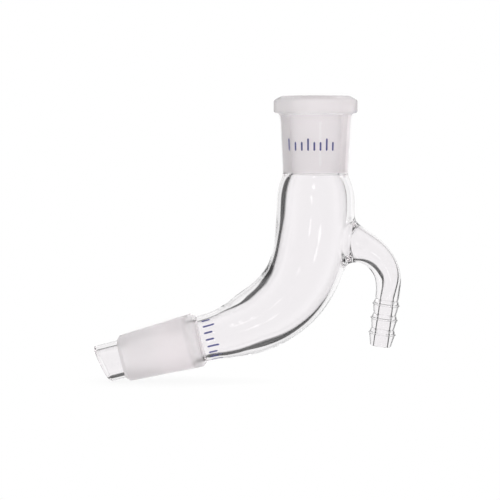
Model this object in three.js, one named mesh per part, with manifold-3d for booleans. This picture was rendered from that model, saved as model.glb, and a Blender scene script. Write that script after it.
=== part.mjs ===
// Bent vacuum take-off adapter with a drip tip, laboratory glass, in millimetres, +Z up.
//
// A ground 19/26 socket stands upright at the top. Below it a wide tube bends towards -X and ends in a
// ground 19/26 cone with an oblique drip tip. A thin side arm leaves the outer side of the bend, curves
// down and ends in a serrated hose connector.
//
// The glassblower's blanks are the sub-parts: each is a body of revolution, and the two bent ones are
// turned straight and then bent along their centre lines, as the real tubes are. The adapter is laid
// out with the socket's axis on Z and the rim's top face at z = 0. The whole is then moved so that the
// origin is the bottom centre of its overall box.

import * as THREE from 'three';
import { mergeVertices } from 'three/addons/utils/BufferGeometryUtils.js';
import Module from 'manifold-3d';

const wasm = await Module();
wasm.setup();

// Ground 19/26 joint, 1:10 taper on the diameter.
const GROUND_LENGTH = 26;
const GROUND_LARGE_R = 18.8 / 2;
const GROUND_SMALL_R = GROUND_LARGE_R - GROUND_LENGTH / 20;

// Socket blank, heights below the rim's top face.
const RIM_R = 28.9 / 2;
const RIM_HEIGHT = 5.9;
const RIM_ROUND = 1.3;
const MOUTH_CHAMFER = 0.4;
const RIM_FLARE = 0.1;
const RIM_FLARE_DEPTH = 0.9;
const COLLAR_R = 24.2 / 2;
const COLLAR_DEPTH = 9;
const SOCKET_LENGTH = 26.8;
const SOCKET_END_R = 22.5 / 2;
const SOCKET_END_BORE_R = 8.5;

// Cone blank, lengths along its axis from the weld to the bent tube.
const CONE_SLOPE = THREE.MathUtils.degToRad(15);
const SHOULDER_X = -39.45;
const SHOULDER_Z = -83.26;
const SHANK_LENGTH = 8;
const SHANK_R = 16.1 / 2;
const SHANK_WELD_R = 8.45;
const SHANK_SLIMMING = 3.2;
const SHANK_BORE_R = 6.05;
const SHANK_BORE_WELD_R = 6.25;
const SHANK_BORE_END = 2;
const SHOULDER_LENGTH = 1.5;
const SHOULDER_FLARE = 0.9;
const SHOULDER_FLARE_START = 0.3;
const SHOULDER_FLARE_TURN = 0.1;
const CONE_BORE_LARGE_R = 7.3;
const CONE_BORE_LARGE_DEPTH = 3;
const CONE_BORE_SMALL_R = 6.2;
const CONE_BORE_SMALL_LENGTH = 4;
const CONE_BORE_TURN = 1;
const CONE_END_ROUND = 0.9;
const CONE_END_TURN = 0.1;
const CONE_END = SHANK_LENGTH + SHOULDER_LENGTH + GROUND_LENGTH;

// Drip tip: its lower side is the shorter one.
const TIP_R = 13.3 / 2;
const TIP_WALL = 1.7;
const TIP_SHORT = 6.6;
const TIP_LONG = 9.4;

// Bent tube: how far the handles of its centre line reach, its wall, and its outer radius at distances
// along it. It swells under the socket and slims towards the cone.
const BODY_HANDLE_TOP = 24;
const BODY_HANDLE_END = 34;
const BODY_WALL = 2.7;
const BODY_SWELL = [
  { distance: 4, radius: 12.4 },
  { distance: 11, radius: 13.1 },
  { distance: 20, radius: 13.1 },
  { distance: 35, radius: 12.3 },
  { distance: 48, radius: 11.8 },
  { distance: 61, radius: 10.3 },
];

// Side arm: its centre line leaves the bent tube at its root and ends at the hose connector.
const ARM_ROOT_X = 11;
const ARM_ROOT_Z = -49.6;
const ARM_ROOT_SLOPE = THREE.MathUtils.degToRad(22);
const ARM_ROOT_HANDLE = 6;
const ARM_END_X = 24.86;
const ARM_END_Z = -69.2;
const ARM_END_HANDLE = 14.4;
const ARM_ROOT_R = 5.65;
const ARM_END_R = 4.05;
const ARM_BORE_ROOT_R = 3.9;
const ARM_BORE_END_R = 1.85;
const ARM_FLARE = 5;
const ARM_BORE_FLARE = 7;
const STUB_LENGTH = 4.5;
const STUB_FLARE_R = 7.6;
const STUB_FLARE_DEPTH = 2;
const STUB_INSIDE = 6;

// Hose connector with three serrations.
const BARB_TILT = THREE.MathUtils.degToRad(7.2);
const BARB_COUNT = 3;
const BARB_NECK = 2.2;
const BARB_PITCH = 4.7;
const BARB_RISE = 1.1;
const BARB_RISE_TURN = 0.66;
const BARB_TOP_R = 4.7;
const BARB_VALLEY_R = 3.95;
const BARB_END_R = 3.45;
const BARB_BORE_END_R = 2.3;
const BARB_NOSE = 1;
const BARB_LENGTH = BARB_NECK + BARB_COUNT * BARB_PITCH + BARB_NOSE;

// Distance kept between tubes that meet on a tilted weld face.
const WELD_GAP = 0.3;

// How far a cutting body reaches past the face it opens, and the block that cuts the drip tip's slant.
const CUT_OVERRUN = 1;
const OFFCUT = 6 * TIP_R;

// Facets round the wide and the thin tubes, steps in a rounded corner, and rings along the bent tubes.
const WIDE_FACETS = 44;
const THIN_FACETS = 28;
const CORNER_STEPS = 3;
const BODY_RINGS = 24;
const ARM_RINGS = 14;

const Y_AXIS = new THREE.Vector3(0, 1, 0);

const clearGlass = new THREE.MeshStandardMaterial({ color: 0xe9eef0, roughness: 0.03, metalness: 0 });
const groundGlass = new THREE.MeshStandardMaterial({ color: 0xd9dadb, roughness: 0.75, metalness: 0 });

// A closed body of revolution about +Z. The outline holds points of (radius, z).
function turned(outline, facets) {
  const points = outline.getPoints(CORNER_STEPS);
  if (THREE.ShapeUtils.isClockWise(points)) points.reverse();
  const geometry = new THREE.LatheGeometry(points, facets);
  geometry.rotateX(Math.PI / 2);
  return welded(geometry);
}

// The same geometry with its shared vertices merged.
function welded(geometry) {
  geometry.deleteAttribute('normal');
  geometry.deleteAttribute('uv');
  return mergeVertices(geometry);
}

// Bends a straight piece: its z becomes the distance along a curve that lies in the XZ plane. What
// reaches past the curve's ends runs straight on.
function bend(geometry, curve) {
  const position = geometry.getAttribute('position');
  const length = curve.getLength();
  for (let i = 0; i < position.count; i += 1) {
    const distance = position.getZ(i);
    const onCurve = THREE.MathUtils.clamp(distance, 0, length);
    const tangent = curve.getTangentAt(onCurve / length);
    const sideways = new THREE.Vector3().crossVectors(Y_AXIS, tangent);
    const point = curve.getPointAt(onCurve / length).addScaledVector(tangent, distance - onCurve);
    point.addScaledVector(sideways, position.getX(i));
    point.addScaledVector(Y_AXIS, position.getY(i));
    position.setXYZ(i, point.x, point.y, point.z);
  }
  return geometry;
}

// Outline of a solid rod whose side follows points of (radius, z) and runs on by `overrun` at both ends.
function rodOutline(side, overrun) {
  const first = side[0];
  const last = side[side.length - 1];
  const outline = new THREE.Path();
  outline.moveTo(0, first.y - overrun);
  outline.lineTo(first.x, first.y - overrun);
  side.forEach((point) => outline.lineTo(point.x, point.y));
  outline.lineTo(last.x, last.y + overrun);
  outline.lineTo(0, last.y + overrun);
  outline.closePath();
  return outline;
}

// Outline of a tube between two sides of (radius, z), with flat ends.
function tubeOutline(outer, inner) {
  const outline = new THREE.Path();
  outline.setFromPoints([...outer, ...inner.reverse()]);
  outline.closePath();
  return outline;
}

function solid(geometry) {
  return new wasm.Manifold(new wasm.Mesh({
    numProp: 3,
    vertProperties: new Float32Array(geometry.getAttribute('position').array),
    triVerts: new Uint32Array(geometry.getIndex().array),
  }));
}

function geometryOf(manifold) {
  const mesh = manifold.getMesh();
  const geometry = new THREE.BufferGeometry();
  geometry.setAttribute('position', new THREE.BufferAttribute(new Float32Array(mesh.vertProperties), 3));
  geometry.setIndex(new THREE.BufferAttribute(new Uint32Array(mesh.triVerts), 1));
  return geometry;
}

function named(name, geometry, material) {
  geometry.computeVertexNormals();
  const mesh = new THREE.Mesh(geometry, material.clone());
  mesh.name = name;
  return mesh;
}

// Unit vector in the XZ plane that falls below the horizontal by slope, towards +X or -X.
function falling(slope, direction) {
  return new THREE.Vector3(direction * Math.cos(slope), 0, -Math.sin(slope));
}

function bodyCurve() {
  const coneAxis = falling(CONE_SLOPE, -1);
  const start = new THREE.Vector3(0, 0, -SOCKET_LENGTH);
  const end = new THREE.Vector3(SHOULDER_X, 0, SHOULDER_Z).addScaledVector(coneAxis, -SHANK_LENGTH);
  return new THREE.CubicBezierCurve3(
    start,
    start.clone().add(new THREE.Vector3(0, 0, -BODY_HANDLE_TOP)),
    end.clone().addScaledVector(coneAxis, -BODY_HANDLE_END),
    end,
  );
}

function armCurve() {
  const start = new THREE.Vector3(ARM_ROOT_X, 0, ARM_ROOT_Z);
  const end = new THREE.Vector3(ARM_END_X, 0, ARM_END_Z);
  const barbAxis = new THREE.Vector3(-Math.sin(BARB_TILT), 0, -Math.cos(BARB_TILT));
  return new THREE.CubicBezierCurve3(
    start,
    start.clone().addScaledVector(falling(ARM_ROOT_SLOPE, 1), ARM_ROOT_HANDLE),
    end.clone().addScaledVector(barbAxis, -ARM_END_HANDLE),
    end,
  );
}

const bodyLine = bodyCurve();
const bodyLength = bodyLine.getLength();
const armLine = armCurve();
const armLength = armLine.getLength();

// Radius along the bent tube, with its outer radius taken in by a wall's thickness.
function bodyProfile(startRadius, wall, endRadius) {
  const stations = BODY_SWELL.map((station) => new THREE.Vector2(station.radius - wall, station.distance));
  return new THREE.SplineCurve([
    new THREE.Vector2(startRadius, 0),
    ...stations,
    new THREE.Vector2(endRadius, bodyLength),
  ]);
}

const bodySkin = bodyProfile(SOCKET_END_R, 0, SHANK_WELD_R);
const bodyBore = bodyProfile(SOCKET_END_BORE_R, BODY_WALL, SHANK_BORE_WELD_R);

// Ground socket: a thick beaded rim, a slightly tapered collar and the tapered ground bore.
function socketJoint() {
  const outline = new THREE.Path();
  outline.moveTo(SOCKET_END_BORE_R, -SOCKET_LENGTH);
  outline.lineTo(SOCKET_END_R, -SOCKET_LENGTH);
  outline.lineTo(COLLAR_R, -COLLAR_DEPTH);
  outline.quadraticCurveTo(
    COLLAR_R + RIM_FLARE, -RIM_HEIGHT - RIM_FLARE_DEPTH,
    RIM_R - RIM_ROUND, -RIM_HEIGHT,
  );
  outline.quadraticCurveTo(RIM_R, -RIM_HEIGHT, RIM_R, -RIM_HEIGHT + RIM_ROUND);
  outline.lineTo(RIM_R, -RIM_ROUND);
  outline.absarc(RIM_R - RIM_ROUND, -RIM_ROUND, RIM_ROUND, 0, Math.PI / 2, false);
  outline.lineTo(GROUND_LARGE_R + MOUTH_CHAMFER, 0);
  outline.lineTo(GROUND_LARGE_R, -MOUTH_CHAMFER);
  outline.lineTo(GROUND_SMALL_R, -GROUND_LENGTH);
  outline.closePath();
  return named('socket_joint', turned(outline, WIDE_FACETS), groundGlass);
}

// Trumpet of radius `root` at the tube and `end` at the weld, centred on the side arm's centre line.
function stub(root, end, overrun) {
  const outline = new THREE.Path();
  outline.moveTo(0, -STUB_INSIDE);
  outline.lineTo(root, -STUB_INSIDE);
  outline.lineTo(root, -STUB_FLARE_DEPTH);
  outline.quadraticCurveTo(end, 0, end, STUB_LENGTH + overrun);
  outline.lineTo(0, STUB_LENGTH + overrun);
  outline.closePath();
  const axis = armLine.getTangentAt(STUB_LENGTH / armLength);
  const geometry = turned(outline, THIN_FACETS);
  geometry.translate(0, 0, -STUB_LENGTH);
  geometry.applyQuaternion(new THREE.Quaternion().setFromUnitVectors(new THREE.Vector3(0, 0, 1), axis));
  const weld = armLine.getPointAt(STUB_LENGTH / armLength);
  geometry.translate(weld.x, weld.y, weld.z);
  return solid(geometry);
}

// Bent tube with the short stub that was drawn out of its wall for the side arm.
function bodyTube() {
  const skinOutline = rodOutline(bodySkin.getSpacedPoints(BODY_RINGS), 0);
  const boreOutline = rodOutline(bodyBore.getSpacedPoints(BODY_RINGS), CUT_OVERRUN);
  const skin = solid(bend(turned(skinOutline, WIDE_FACETS), bodyLine));
  const bore = solid(bend(turned(boreOutline, WIDE_FACETS), bodyLine));
  const armBore = stub(ARM_BORE_ROOT_R, ARM_BORE_ROOT_R, CUT_OVERRUN);
  const shell = skin.add(stub(STUB_FLARE_R, ARM_ROOT_R, 0)).subtract(bore).subtract(armBore);
  return named('body_tube', geometryOf(shell), clearGlass);
}

// Side arm: its wall slims from the weld on the stub and its bore narrows more slowly.
function sideArm() {
  const start = STUB_LENGTH + WELD_GAP;
  const length = armLength - WELD_GAP - start;
  const skin = [];
  const bore = [];
  for (let i = 0; i <= ARM_RINGS; i += 1) {
    const distance = length * i / ARM_RINGS;
    const outer = ARM_END_R + (ARM_ROOT_R - ARM_END_R) * Math.exp(-distance / ARM_FLARE);
    const inner = ARM_BORE_END_R + (ARM_BORE_ROOT_R - ARM_BORE_END_R) * Math.exp(-distance / ARM_BORE_FLARE);
    skin.push(new THREE.Vector2(outer, start + distance));
    bore.push(new THREE.Vector2(inner, start + distance));
  }
  return named('side_arm', bend(turned(tubeOutline(skin, bore), THIN_FACETS), armLine), clearGlass);
}

// Hose connector: each serration rises steeply and tapers towards the free end.
function hoseBarb() {
  const outline = new THREE.Path();
  outline.moveTo(ARM_BORE_END_R, 0);
  outline.lineTo(ARM_END_R, 0);
  for (let i = 0; i < BARB_COUNT; i += 1) {
    const z = BARB_NECK + i * BARB_PITCH;
    outline.lineTo(BARB_VALLEY_R, z - BARB_RISE);
    outline.quadraticCurveTo(BARB_TOP_R, z - BARB_RISE_TURN, BARB_TOP_R, z);
  }
  outline.lineTo(BARB_END_R, BARB_LENGTH);
  outline.lineTo(BARB_BORE_END_R, BARB_LENGTH);
  outline.closePath();
  const barb = named('hose_barb', turned(outline, THIN_FACETS), clearGlass);
  barb.position.set(ARM_END_X, 0, ARM_END_Z);
  barb.rotation.y = Math.PI + BARB_TILT;
  return barb;
}

// Ground cone with its shank. Its z runs from the weld to the small end.
function coneJoint() {
  const outline = new THREE.Path();
  const shoulderEnd = SHANK_LENGTH + SHOULDER_LENGTH;
  outline.moveTo(SHANK_BORE_WELD_R, WELD_GAP);
  outline.lineTo(SHANK_WELD_R, WELD_GAP);
  outline.quadraticCurveTo(SHANK_R, SHANK_SLIMMING, SHANK_R, SHANK_LENGTH - SHOULDER_FLARE_START);
  outline.quadraticCurveTo(
    SHANK_R + SHOULDER_FLARE, SHANK_LENGTH - SHOULDER_FLARE_TURN,
    GROUND_LARGE_R, shoulderEnd,
  );
  outline.lineTo(GROUND_SMALL_R, CONE_END);
  outline.quadraticCurveTo(
    GROUND_SMALL_R - CONE_END_TURN, CONE_END + CONE_END_ROUND,
    TIP_R, CONE_END + CONE_END_ROUND,
  );
  outline.lineTo(TIP_R - TIP_WALL, CONE_END + CONE_END_ROUND);
  outline.quadraticCurveTo(
    CONE_BORE_SMALL_R, CONE_END - CONE_BORE_TURN,
    CONE_BORE_SMALL_R, CONE_END - CONE_BORE_SMALL_LENGTH,
  );
  outline.lineTo(CONE_BORE_LARGE_R, shoulderEnd + CONE_BORE_LARGE_DEPTH);
  outline.quadraticCurveTo(SHANK_BORE_R, shoulderEnd, SHANK_BORE_R, SHANK_LENGTH - SHANK_BORE_END);
  outline.closePath();
  return named('cone_joint', turned(outline, WIDE_FACETS), groundGlass);
}

// Drip tip: a plain tube whose free end is cut at a slant, longest on the upper side.
function dripTip() {
  const start = CONE_END + CONE_END_ROUND + WELD_GAP;
  const outline = new THREE.Path();
  outline.moveTo(TIP_R - TIP_WALL, start);
  outline.lineTo(TIP_R, start);
  outline.lineTo(TIP_R, CONE_END + TIP_LONG + CUT_OVERRUN);
  outline.lineTo(TIP_R - TIP_WALL, CONE_END + TIP_LONG + CUT_OVERRUN);
  outline.closePath();
  const middle = CONE_END + (TIP_SHORT + TIP_LONG) / 2;
  const slant = Math.atan2(TIP_LONG - TIP_SHORT, 2 * TIP_R);
  const offcut = new THREE.BoxGeometry(OFFCUT, OFFCUT, OFFCUT);
  offcut.translate(0, 0, OFFCUT / 2);
  offcut.rotateY(-slant);
  offcut.translate(0, 0, middle);
  const tip = solid(turned(outline, WIDE_FACETS)).subtract(solid(welded(offcut)));
  return named('drip_tip', geometryOf(tip), clearGlass);
}

// The cone and its drip tip share one axis, which falls towards -X.
function coneLeg() {
  const leg = new THREE.Group();
  const weld = bodyLine.getPointAt(1);
  leg.position.copy(weld);
  leg.rotation.y = Math.PI * 1.5 - CONE_SLOPE;
  leg.add(coneJoint(), dripTip());
  return leg;
}

const adapter = new THREE.Group();
adapter.name = 'take_off_adapter';
adapter.add(socketJoint(), bodyTube(), sideArm(), hoseBarb(), coneLeg());

// The origin is the bottom centre of the overall box.
const box = new THREE.Box3().setFromObject(adapter, true);
adapter.position.set(-(box.min.x + box.max.x) / 2, -(box.min.y + box.max.y) / 2, -box.min.z);

export default adapter;
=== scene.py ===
"""Bent vacuum take-off adapter with a drip tip: fine glass surfaces, materials, light and camera.

Shapes are worked out in millimetres in the socket's own frame (the socket's axis is x = y = 0 and
its rim's top face is z = 0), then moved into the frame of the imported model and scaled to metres.
"""
import math

import bmesh
import bpy
import numpy as np
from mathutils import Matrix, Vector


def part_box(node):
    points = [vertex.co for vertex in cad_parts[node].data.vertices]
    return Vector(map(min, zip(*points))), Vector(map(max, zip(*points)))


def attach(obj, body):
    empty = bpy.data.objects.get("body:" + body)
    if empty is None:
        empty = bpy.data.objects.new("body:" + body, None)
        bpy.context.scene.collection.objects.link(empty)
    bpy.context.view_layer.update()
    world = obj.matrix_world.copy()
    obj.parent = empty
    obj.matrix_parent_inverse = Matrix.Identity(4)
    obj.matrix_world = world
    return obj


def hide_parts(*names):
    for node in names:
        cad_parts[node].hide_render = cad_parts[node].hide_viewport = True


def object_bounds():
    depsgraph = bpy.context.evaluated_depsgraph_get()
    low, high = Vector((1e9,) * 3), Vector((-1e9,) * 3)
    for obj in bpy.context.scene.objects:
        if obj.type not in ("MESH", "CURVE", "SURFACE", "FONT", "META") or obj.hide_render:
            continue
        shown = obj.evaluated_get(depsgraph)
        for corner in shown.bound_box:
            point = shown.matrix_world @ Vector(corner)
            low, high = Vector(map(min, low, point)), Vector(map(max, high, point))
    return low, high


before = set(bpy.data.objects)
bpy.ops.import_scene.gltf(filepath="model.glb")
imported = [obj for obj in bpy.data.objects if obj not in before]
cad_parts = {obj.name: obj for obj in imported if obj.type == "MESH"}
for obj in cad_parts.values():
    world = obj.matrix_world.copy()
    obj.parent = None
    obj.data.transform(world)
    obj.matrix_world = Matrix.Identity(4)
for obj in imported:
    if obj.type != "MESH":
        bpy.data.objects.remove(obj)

import openvdb
from mathutils import Vector

CAD_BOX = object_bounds()
MM = 0.001

# ---------------------------------------------------------------- places that come from the frame

SOCKET_LOW, SOCKET_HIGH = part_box("socket_joint")
ORIGIN = np.array([(SOCKET_LOW.x + SOCKET_HIGH.x) / 2, 0.0, SOCKET_HIGH.z]) / MM
RIM_R = (SOCKET_HIGH.x - SOCKET_LOW.x) / 2 / MM
SOCKET_LENGTH = (SOCKET_HIGH.z - SOCKET_LOW.z) / MM

# ---------------------------------------------------------------- driving dimensions, millimetres

# 19/26 ground joint.
GROUND_LENGTH = 26.0
GROUND_LARGE_R = 9.4
GROUND_SMALL_R = 8.1

# Socket: depths run down from the rim's top face. UNDER_RIM is the corner between the rim and the
# collar (out from the collar, below the rim, rounding). HAZE_DEPTHS start the haze below the rim.
MOUTH_BEVEL = 0.6
MOUTH_BEVEL_DEPTH = 0.45
MOUTH_ROUNDS = (0.3, 0.5)
RIM_HEIGHT = 5.9
RIM_ROUND = 1.2
RIM_BEVEL = 2.8
RIM_BEVEL_DEPTH = 1.5
UNDER_RIM = (0.45, 0.15, 0.8)
COLLAR_R = 12.1
COLLAR_DEPTH = 9.0
COLLAR_ROUND = 6.0
FOOT_RUN = 3.0
FOOT_ROUND = 4.0
BORE_FOOT_ROUND = 2.0
FROST_LENGTH = 26.6
FROST_FADE = 0.3
RIM_HAZE = 0.35
HAZE_FADE = 1.2
HAZE_DEPTHS = (0.9, 0.5)

# Cone and drip tip: lengths run from the weld to the small end.
CONE_SLOPE = math.radians(14.2)
SHOULDER = np.array([-39.3, -83.8])
SHANK_LENGTH = 8.0
SHANK_MIDDLE = 3.5
SHANK_ROUND = 12.0
SHANK_STEP = 0.2
SHANK_END_ROUND = 0.9
SHOULDER_LENGTH = 1.5
SHOULDER_PROUD = 0.05
SHOULDER_ROUND = 1.2
SHOULDER_POLISH = 0.3
SHOULDER_FADE = (1.2, 4.2)
CONE_END = SHANK_LENGTH + SHOULDER_LENGTH + GROUND_LENGTH
CONE_END_ROUND = 0.9
CONE_CHAMFER = 1.3
CONE_CHAMFER_ROUNDS = (0.15, 0.1)
# Corners of the cone's bore: radius, distance before or after the next mark, rounding.
CONE_BORE_END = (6.2, 2.5, 3.0)
CONE_BORE_WIDE = (7.3, 3.0, 6.0)
CONE_BORE_NECK = (6.05, 1.0, 4.0)
TIP_R = 6.65
TIP_WALL = 1.7
TIP_SHORT = 6.6
TIP_LONG = 9.4
TIP_ROUND = 0.8

# Bent tube and side arm: how far each end's tangent reaches into its curve, where the arm starts
# and ends, and where along it the stub stops and the arm begins.
BODY_HANDLES = (24.0, 34.0)
ARM_ROOT = np.array([11.0, -49.6])
ARM_ROOT_SLOPE = math.radians(22)
ARM_END = np.array([24.86, -69.2])
ARM_HANDLES = (6.0, 14.4)
ARM_WELD = 4.65
ARM_BACK = 3.0
ARM_END_R = 4.1
ARM_END_BORE_R = 2.0

# Hose barb. Each ridge has corners of (beyond the top radius, along from the ridge, rounding),
# and its rise is (length, rounding).
BARB_TILT = math.radians(7.6)
BARB_COUNT = 3
BARB_NECK = 2.7
BARB_PITCH = 5.05
BARB_TOP_R = 4.7
BARB_VALLEY_R = 3.95
BARB_END_R = 3.6
BARB_END_BORE_R = 2.3
BARB_LENGTH = 17.3
BARB_RISE = (1.75, 0.5)
BARB_RIDGE = ((-0.26, -0.4, 0.25), (0.02, -0.18, 0.1), (0.02, 0.1, 0.1), (-0.22, 0.3, 0.2))
BARB_END_ROUNDS = (0.6, 0.45)

# Outlines: how far apart their points are, how far each turns round a corner, and how much of a
# side one corner's rounding may take.
FINE_STEP = 0.3
TIP_STEP = 0.25
BARB_STEP = 0.12
FILLET_TURN = math.radians(9)
FILLET_SHARE = 0.49
WELD_TOUCH = 1e-6
SOCKET_FACETS, CONE_FACETS, TIP_FACETS, BARB_FACETS = 160, 128, 112, 96

# Distance fields: voxel, box (its top lies above the socket's weld), the step for slopes, and how
# sparsely faces are sampled to tell which way they point.
VOXEL = 0.3
FIELD_LOW = (-44.0, -14.5, -96.0)
FIELD_HIGH = (22.0, 14.5)
FIELD_ABOVE = 2.5
NUDGE = 0.02
SAMPLE_STRIDE = 7

# Side arm's mesh: Newton steps towards the surface along each ray, and the least rise they trust.
ARM_FACETS, ARM_RINGS = 96, 110
ARM_ROUNDS = 8
LEAST_RISE = 0.3


# ---------------------------------------------------------------- curves

class Spline:
    """Natural cubic spline through points of (distance, value), held level beyond its ends."""

    def __init__(self, points):
        self.x, self.y = np.array(points, float).T
        x, y, n = self.x, self.y, len(points)
        step = np.diff(x)
        matrix = np.eye(n)
        right = np.zeros(n)
        for i in range(1, n - 1):
            matrix[i, i - 1 : i + 2] = step[i - 1], 2 * (step[i - 1] + step[i]), step[i]
            right[i] = 6 * ((y[i + 1] - y[i]) / step[i] - (y[i] - y[i - 1]) / step[i - 1])
        self.bend = np.linalg.solve(matrix, right)

    def __call__(self, at):
        at = np.clip(at, self.x[0], self.x[-1])
        i = np.clip(np.searchsorted(self.x, at) - 1, 0, len(self.x) - 2)
        step = self.x[i + 1] - self.x[i]
        a = (self.x[i + 1] - at) / step
        b = 1 - a
        curve = ((a**3 - a) * self.bend[i] + (b**3 - b) * self.bend[i + 1]) * step**2 / 6
        return a * self.y[i] + b * self.y[i + 1] + curve


class CentreLine:
    """Cubic Bezier in the XZ plane that runs straight on past both ends."""

    SAMPLES = 600
    SEED_STRIDE = 12
    ROUNDS = 4

    def __init__(self, start, start_way, end, end_way, handles):
        self.p = np.array([start, start + handles[0] * start_way, end - handles[1] * end_way, end])
        self.t = np.linspace(0, 1, self.SAMPLES)
        self.points = self.at(self.t)
        steps = np.linalg.norm(np.diff(self.points, axis=0), axis=1)
        self.distances = np.concatenate([[0], np.cumsum(steps)])
        self.length = self.distances[-1]
        self.start_way, self.end_way = start_way, end_way

    def at(self, t, derivative=0):
        t = np.asarray(t, float)[..., None]
        p0, p1, p2, p3 = self.p
        if derivative == 0:
            return (1 - t)**3 * p0 + 3 * (1 - t)**2 * t * p1 + 3 * (1 - t) * t**2 * p2 + t**3 * p3
        if derivative == 1:
            return 3 * ((1 - t)**2 * (p1 - p0) + 2 * (1 - t) * t * (p2 - p1) + t**2 * (p3 - p2))
        return 6 * ((1 - t) * (p2 - 2 * p1 + p0) + t * (p3 - 2 * p2 + p1))

    def place(self, distance):
        """Point and unit tangent at each distance along the line."""
        distance = np.asarray(distance, float)
        t = np.interp(distance, self.distances, self.t)
        way = self.at(t, 1)
        way /= np.linalg.norm(way, axis=-1, keepdims=True)
        beyond = distance - np.clip(distance, 0, self.length)
        return self.at(t) + way * beyond[..., None], way

    def locate(self, points):
        """Distance along the line and signed sideways offset of each (x, z) point."""
        seed, seed_t = self.points[:: self.SEED_STRIDE], self.t[:: self.SEED_STRIDE]
        across, down = (points[:, None, i] - seed[None, :, i] for i in (0, 1))
        t = seed_t[(across**2 + down**2).argmin(1)]
        for _ in range(self.ROUNDS):
            off, way, bend = self.at(t) - points, self.at(t, 1), self.at(t, 2)
            slope = (way * way).sum(1) + (off * bend).sum(1)
            t = np.clip(t - (off * way).sum(1) / np.maximum(slope, 1e-6), 0, 1)
        way = self.at(t, 1)
        way /= np.linalg.norm(way, axis=1, keepdims=True)
        off = points - self.at(t)
        beyond = np.where((t <= 0) | (t >= 1), (off * way).sum(1), 0)
        off = off - way * beyond[:, None]
        side = way[:, 0] * off[:, 1] - way[:, 1] * off[:, 0]
        return np.interp(t, self.t, self.distances) + beyond, side


def falling(slope, direction):
    """Unit (x, z) vector that falls at a slope towards +x or -x."""
    return np.array([direction * math.cos(slope), -math.sin(slope)])


DOWN = np.array([0.0, -1.0])
CONE_WAY = falling(CONE_SLOPE, -1)
BARB_WAY = np.array([-math.sin(BARB_TILT), -math.cos(BARB_TILT)])
CONE_WELD = SHOULDER - CONE_WAY * SHANK_LENGTH
BODY = CentreLine(np.array([0.0, -SOCKET_LENGTH]), DOWN, CONE_WELD, CONE_WAY, BODY_HANDLES)
ARM = CentreLine(ARM_ROOT, falling(ARM_ROOT_SLOPE, 1), ARM_END, BARB_WAY, ARM_HANDLES)

# Outer radius of the tube, from the socket's foot through the bend to the cone's shank.
BODY_SKIN = Spline([
    (-8, 11.63), (-1, 11.28), (0, 11.3), (1.2, 11.6), (3, 12.3), (6, 13.1), (9, 13.4),
    (12, 13.45), (20, 13.35), (26, 13.07), (33, 12.68), (39, 12.4), (45, 12.15), (51, 11.78),
    (57, 11.35), (62, 10.75), (66, 9.8), (BODY.length, 8.75), (BODY.length + 3.5, 8.1),
    (BODY.length + 9, 8.05),
])
# How far the outside leans towards the inside of the bend.
BODY_SKIN_SHIFT = Spline([
    (0, 0), (6, -0.05), (12, -0.1), (25, 0), (35, 0.24), (45, 0.46), (52, 0.62), (57, 0.6),
    (62, 0.5), (66, 0.35), (BODY.length, 0.1),
])
# Inner radius of the same tube: a hand-blown wall that thins around the bend.
BODY_BORE = Spline([
    (-8, 8.1), (-1, 8.1), (0, 8.35), (3, 9.45), (6, 10.3), (9, 10.65), (15, 10.87), (18, 11.07),
    (21, 11.25), (24, 11.3), (27, 11.23), (30, 11.12), (33, 10.95), (36, 10.74), (39, 10.46),
    (42, 10.12), (45, 9.78), (48, 9.38), (51, 9.0), (54, 8.6), (57, 8.1), (60, 7.58), (63, 7.28),
    (66, 7.2), (BODY.length, 6.8), (BODY.length + 3.5, 6.3), (BODY.length + 9, 6.05),
])
# How far the bore leans the same way.
BODY_BORE_SHIFT = Spline([
    (0, 0), (6, -0.1), (15, -0.1), (22, -0.04), (28, 0.06), (35, 0.15), (42, 0.22), (48, 0.28),
    (54, 0.33), (60, 0.35), (66, 0.28), (BODY.length, 0.1),
])

# Outer and inner radius of the side arm, and how far each leans towards the outside of its curve.
ARM_SKIN = Spline([
    (-4, 7.6), (0, 7.2), (4, 6.35), (6, 5.8), (8, 5.35), (10, 5.1), (12, 4.92), (15, 4.75),
    (18, 4.6), (20, 4.5), (22, 4.38), (24, 4.2), (ARM.length, ARM_END_R),
])
ARM_SKIN_SHIFT = Spline([
    (0, -0.5), (4, -0.35), (8, -0.05), (12, 0.1), (16, 0.17), (20, 0.26), (22, 0.2), (24, 0.08),
    (ARM.length, 0),
])
ARM_BORE = Spline([
    (-4, 6.2), (0, 5.95), (4, 5.4), (6, 4.95), (8, 4.47), (10, 4.12), (12, 3.81), (14, 3.55),
    (16, 3.27), (18, 2.94), (20, 2.56), (22, 2.3), (24, 2.13), (ARM.length, ARM_END_BORE_R),
])
ARM_BORE_SHIFT = Spline([
    (0, 0), (4, 0.05), (8, 0.35), (10, 0.52), (12, 0.66), (14, 0.8), (16, 0.87), (18, 0.94),
    (20, 0.93), (22, 0.65), (24, 0.3), (ARM.length, 0),
])


# ---------------------------------------------------------------- the branched tube as a field

def blended(a, b, reach):
    """Smooth minimum of two distances: the fillet that a glass weld flows into."""
    near = np.maximum(reach - np.abs(a - b), 0) / reach
    return np.minimum(a, b) - near**3 * reach / 6


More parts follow.
